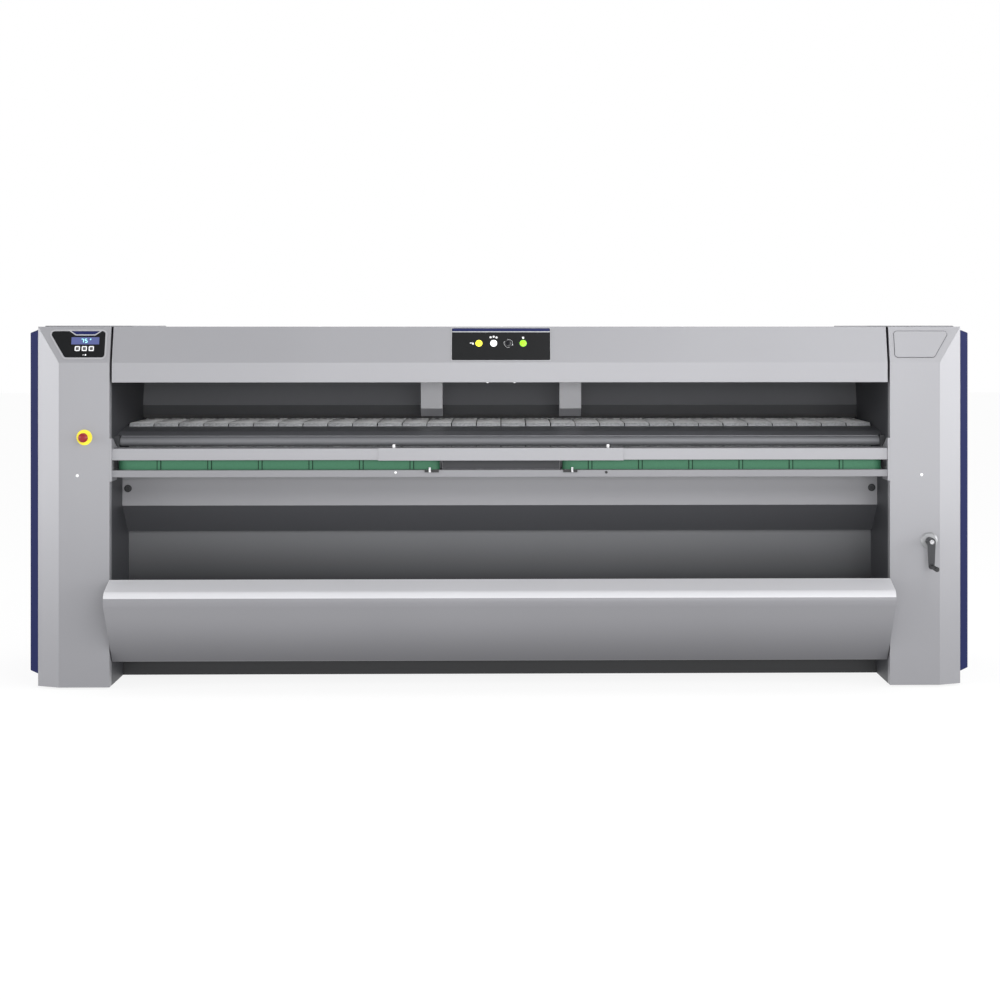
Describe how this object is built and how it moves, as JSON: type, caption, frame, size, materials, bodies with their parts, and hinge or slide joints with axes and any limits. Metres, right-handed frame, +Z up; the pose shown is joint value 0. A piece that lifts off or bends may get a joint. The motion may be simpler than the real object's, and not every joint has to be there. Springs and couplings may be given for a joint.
{
  "type": "flatwork ironer",
  "caption": "Free-standing roll ironer with a front feeding belt table under a hood, a spreader beam, a heated cylinder inside and a collecting trough below.",
  "frame": {"origin": "floor level, in the middle of the machine's width and overall depth", "axes": "+X along the cylinder to the operator's right, +Y to the rear, +Z up"},
  "size_m": [3.64, 1.2302, 1.4],
  "materials": {
    "grey_paint": "satin powder coat, silver grey",
    "blue_paint": "satin powder coat, dark blue",
    "dark_paint": "matt dark grey coat",
    "black_plate": "matt black foil plate",
    "window": "clear window over a lit display",
    "lens": "lamp lenses, one colour each",
    "key": "soft black key",
    "estop_yellow": "yellow",
    "estop_red": "red",
    "black_cast": "black painted casting",
    "steel": "ground steel",
    "polished": "polished cylinder",
    "galvanised": "zinc-coated sheet",
    "felt": "grey needle felt",
    "green_belt": "green cleated belt",
    "black_rubber": "black toothed belt",
    "grip": "black grip",
    "aluminium": "die-cast housing"
  },
  "bodies": {
    "frame": {"column_cover_left": "grey_paint", "column_cover_right": "grey_paint", "side_panel_left": "blue_paint", "side_panel_right": "blue_paint", "hood_cover": "grey_paint", "top_cover": "grey_paint", "rear_cover": "grey_paint", "end_lids": "grey_paint", "side_frame_left": "dark_paint", "side_frame_right": "dark_paint", "base_frame": "dark_paint", "levelling_feet": "steel", "feed_table": "dark_paint", "beam_cover": "grey_paint", "beam_centre_cover": "grey_paint", "spreader_rail": "grey_paint", "beam_brackets": "grey_paint", "spreader_belt_left": "green_belt", "spreader_belt_right": "green_belt", "ironing_belts": "felt", "belt_bed": "galvanised", "bearing_blocks": "black_cast", "heating_elements": "steel", "drive_belt": "black_rubber", "gearmotor": "aluminium", "apron": "grey_paint", "chute_plate": "dark_paint", "trough": "grey_paint", "trough_ends": "grey_paint", "plinth": "dark_paint", "belt_guard": "dark_paint", "hood_brackets": "grey_paint", "indicator_panel": "black_plate", "indicator_lamps": "lens", "display_panel": "black_plate", "display_window": "window", "blank_panel": "grey_paint", "estop_base": "estop_yellow", "crank_bezel": "steel", "fan_housing": "galvanised", "control_box": "grey_paint", "cable_gland": "grip"},
    "cylinder": {"drum": "polished", "drum_pulley": "black_cast"},
    "front_roller": {"front_roller": "steel"},
    "nip_roller": {"nip_roller": "steel"},
    "take_off_roller": {"take_off_roller": "steel"},
    "guide_roller": {"guide_roller": "polished"},
    "motor_pulley": {"motor_pulley": "steel"},
    "spreader_pulley_left_outer": {"spreader_pulley_left_outer": "aluminium"},
    "spreader_pulley_left_inner": {"spreader_pulley_left_inner": "aluminium"},
    "spreader_pulley_right_inner": {"spreader_pulley_right_inner": "aluminium"},
    "spreader_pulley_right_outer": {"spreader_pulley_right_outer": "aluminium"},
    "fan_impeller": {"fan_impeller": "galvanised"},
    "panel_key_left": {"panel_key_left": "key"},
    "panel_key_middle": {"panel_key_middle": "key"},
    "panel_key_right": {"panel_key_right": "key"},
    "estop_button": {"estop_button": "estop_red"},
    "hand_crank": {"hand_crank": "black_cast"},
    "crank_grip": {"crank_grip": "grip"}
  },
  "joints": [
    {"name": "cylinder_spin", "type": "hinge", "parent": "frame", "child": "cylinder", "pos_m": [0, 0.26505, 0.745], "axis": [1, 0, 0], "continuous": true},
    {"name": "front_roller_spin", "type": "hinge", "parent": "frame", "child": "front_roller", "pos_m": [0, 0.01805, 0.9767], "axis": [1, 0, 0], "continuous": true},
    {"name": "nip_roller_spin", "type": "hinge", "parent": "frame", "child": "nip_roller", "pos_m": [0, 0.4827, 0.9487], "axis": [1, 0, 0], "continuous": true},
    {"name": "take_off_roller_spin", "type": "hinge", "parent": "frame", "child": "take_off_roller", "pos_m": [0, 0.01124, 0.65262], "axis": [1, 0, 0], "continuous": true},
    {"name": "guide_roller_spin", "type": "hinge", "parent": "frame", "child": "guide_roller", "pos_m": [0, -0.286, 0.947], "axis": [1, 0, 0], "continuous": true},
    {"name": "motor_pulley_spin", "type": "hinge", "parent": "frame", "child": "motor_pulley", "pos_m": [1.573, -0.05, 0.517], "axis": [1, 0, 0], "continuous": true},
    {"name": "spreader_left_inner_spin", "type": "hinge", "parent": "frame", "child": "spreader_pulley_left_inner", "pos_m": [-0.275, -0.375, 0.861], "axis": [0, 0, 1], "continuous": true},
    {"name": "spreader_left_outer_spin", "type": "hinge", "parent": "frame", "child": "spreader_pulley_left_outer", "pos_m": [-1.444, -0.375, 0.861], "axis": [0, 0, 1], "continuous": true},
    {"name": "spreader_right_inner_spin", "type": "hinge", "parent": "frame", "child": "spreader_pulley_right_inner", "pos_m": [0.275, -0.375, 0.861], "axis": [0, 0, 1], "continuous": true},
    {"name": "spreader_right_outer_spin", "type": "hinge", "parent": "frame", "child": "spreader_pulley_right_outer", "pos_m": [1.444, -0.375, 0.861], "axis": [0, 0, 1], "continuous": true},
    {"name": "fan_spin", "type": "hinge", "parent": "frame", "child": "fan_impeller", "pos_m": [-1.609, 0.36, 1.24], "axis": [1, 0, 0], "continuous": true},
    {"name": "crank_turn", "type": "hinge", "parent": "frame", "child": "hand_crank", "pos_m": [1.658, -0.44, 0.567], "axis": [0, 1, 0], "continuous": true},
    {"name": "grip_turn", "type": "hinge", "parent": "hand_crank", "child": "crank_grip", "pos_m": [1.658, -0.555, 0.472], "axis": [0, 1, 0], "continuous": true},
    {"name": "estop_press", "type": "slide", "parent": "frame", "child": "estop_button", "axis": [0, 1, 0], "range_m": [0, 0.006]},
    {"name": "key_left_press", "type": "slide", "parent": "frame", "child": "panel_key_left", "axis": [0, 0.9514, -0.308], "range_m": [0, 0.001], "stiffness_N_per_m": 400},
    {"name": "key_middle_press", "type": "slide", "parent": "frame", "child": "panel_key_middle", "axis": [0, 0.9514, -0.308], "range_m": [0, 0.001], "stiffness_N_per_m": 400},
    {"name": "key_right_press", "type": "slide", "parent": "frame", "child": "panel_key_right", "axis": [0, 0.9514, -0.308], "range_m": [0, 0.001], "stiffness_N_per_m": 400}
  ],
  "couplings": [
    {"joint": "front_roller_spin", "follows": "cylinder_spin", "ratio": -8.3785},
    {"joint": "nip_roller_spin", "follows": "cylinder_spin", "ratio": -4.2482},
    {"joint": "take_off_roller_spin", "follows": "cylinder_spin", "ratio": -8.3785},
    {"joint": "motor_pulley_spin", "follows": "cylinder_spin", "ratio": 3.6005},
    {"joint": "spreader_left_outer_spin", "follows": "spreader_left_inner_spin", "ratio": 1},
    {"joint": "spreader_right_outer_spin", "follows": "spreader_right_inner_spin", "ratio": 1}
  ]
}
